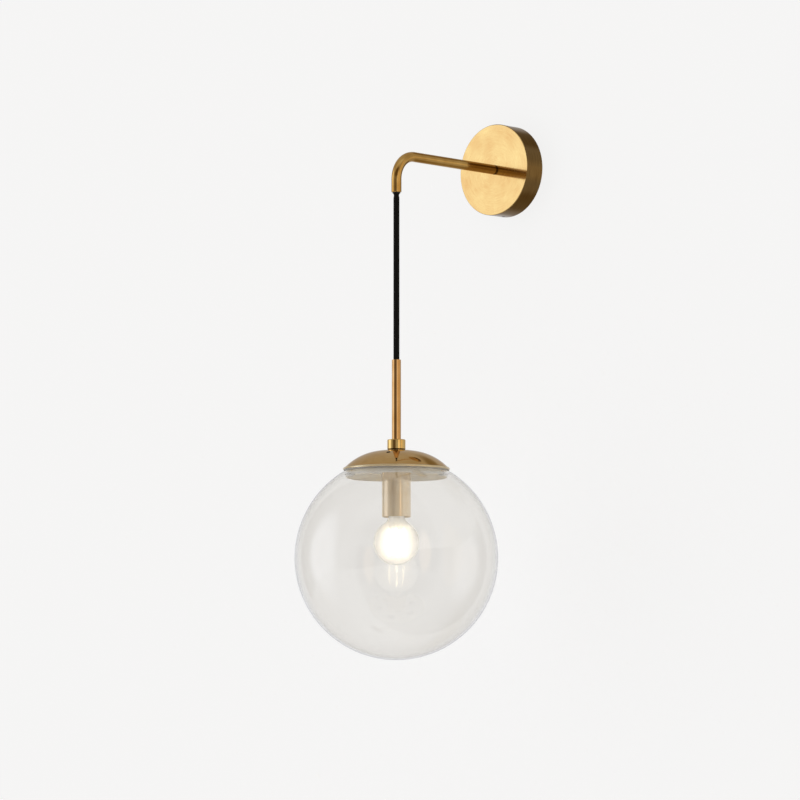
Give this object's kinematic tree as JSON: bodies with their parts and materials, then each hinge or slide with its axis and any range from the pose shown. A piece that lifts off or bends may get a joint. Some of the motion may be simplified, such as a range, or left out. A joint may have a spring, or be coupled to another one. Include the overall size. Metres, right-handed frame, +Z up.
{
  "type": "globe wall sconce",
  "caption": "Wall light with a round brass plate and bent arm, from which a clear glass globe with a domed brass cap and a filament bulb hangs on a textile cord.",
  "frame": {"origin": "centre of the wall bracket's slot pattern, on its back face, which lies on the wall", "axes": "+X to the right seen from in front, +Y into the wall, +Z up; the light stands out from the wall along -Y"},
  "size_m": [0.2, 0.2645, 0.5473],
  "materials": {
    "plate_brass": "satin brushed brass, raised a little in colour on the face",
    "tube_brass": "brushed brass tube, lengthwise grain",
    "cap_brass": "spun and polished brass",
    "cup_brass": "brushed brass, drawn cup and gallery",
    "contact_brass": "plain stamped brass contact parts",
    "zinc_steel": "zinc-plated pressed steel",
    "screw_steel": "plated steel screws, nut and washer",
    "spring_steel": "bright spring strip",
    "black_nylon": "moulded black nylon",
    "cord_textile": "black woven textile cord cover",
    "terminal_nylon": "moulded white nylon",
    "holder_thermoset": "moulded black lamp-holder plastic",
    "core_brown": "brown core insulation",
    "core_blue": "blue core insulation",
    "core_green": "green and yellow core insulation",
    "gasket_silicone": "translucent silicone ring",
    "globe_glass": "clear blown glass",
    "bulb_glass": "clear bulb glass",
    "bulb_nickel": "nickel-plated bulb cap",
    "bulb_black": "black vitrified insulator",
    "solder": "tinned solder contact",
    "filament": "phosphor-coated LED filament"
  },
  "bodies": {
    "wall_side": {"wall_plate": "plate_brass", "backing_disc": "contact_brass", "arm_tube": "tube_brass", "arm_bush": "black_nylon", "cord_in_arm": "cord_textile", "cord_grip": "black_nylon", "grip_screw": "screw_steel", "wall_bracket": "zinc_steel", "plate_screws": "screw_steel", "terminal_block": "terminal_nylon", "terminal_screws": "screw_steel", "block_screws": "screw_steel", "live_wire": "core_brown", "neutral_wire": "core_blue", "earth_wire": "core_green", "earth_screw": "screw_steel"},
    "cord_knuckle": {"cord_bend": "cord_textile"},
    "cord_run": {"cord": "cord_textile"},
    "pendant": {"cord_in_stem": "cord_textile", "stem_tube": "tube_brass", "stem_bush": "black_nylon", "collar": "tube_brass", "collar_screw": "screw_steel", "nipple": "screw_steel", "cap_dome": "cap_brass", "cap_spacer": "contact_brass", "gallery": "cup_brass", "globe_clips": "spring_steel", "clip_rivets": "contact_brass", "rim_gasket": "gasket_silicone", "holder_cup": "cup_brass", "lock_washer": "screw_steel", "lock_nut": "screw_steel", "holder_cap": "holder_thermoset", "holder_body": "holder_thermoset", "screw_shell": "contact_brass", "centre_contact": "contact_brass", "holder_screws": "screw_steel", "holder_live_wire": "core_brown", "holder_neutral_wire": "core_blue"},
    "bulb_foot": {"bulb_contact": "solder"},
    "bulb": {"bulb_insulator": "bulb_black", "bulb_cap": "bulb_nickel", "bulb_envelope": "bulb_glass", "bulb_mount": "bulb_glass", "filaments": "filament", "filament_wires": "screw_steel"},
    "globe": {"glass_globe": "globe_glass"}
  },
  "joints": [
    {"name": "swing_out", "type": "hinge", "parent": "wall_side", "child": "cord_knuckle", "pos_m": [0, -0.1645, -0.0392], "axis": [1, 0, 0], "range_deg": [-30, 10]},
    {"name": "swing_side", "type": "hinge", "parent": "cord_knuckle", "child": "cord_run", "pos_m": [0, -0.1645, -0.0392], "axis": [0, 1, 0], "range_deg": [-30, 30]},
    {"name": "cord_twist", "type": "hinge", "parent": "cord_run", "child": "pendant", "pos_m": [0, -0.1645, -0.205], "axis": [0, 0, 1], "range_deg": [-180, 180]},
    {"name": "bulb_drop", "type": "slide", "parent": "pendant", "child": "bulb_foot", "axis": [0, 0, -1], "range_m": [0, 0.0127]},
    {"name": "bulb_turn", "type": "hinge", "parent": "bulb_foot", "child": "bulb", "pos_m": [0, -0.1645, -0.385], "axis": [0, 0, -1], "range_deg": [0, 1620]},
    {"name": "globe_off", "type": "slide", "parent": "pendant", "child": "globe", "axis": [0, 0, -1], "range_m": [0, 0.11], "deforming": ["globe_clips"]}
  ],
  "couplings": [
    {"joint": "bulb_drop", "follows": "bulb_turn", "m_per_rad": 0.00044882}
  ]
}
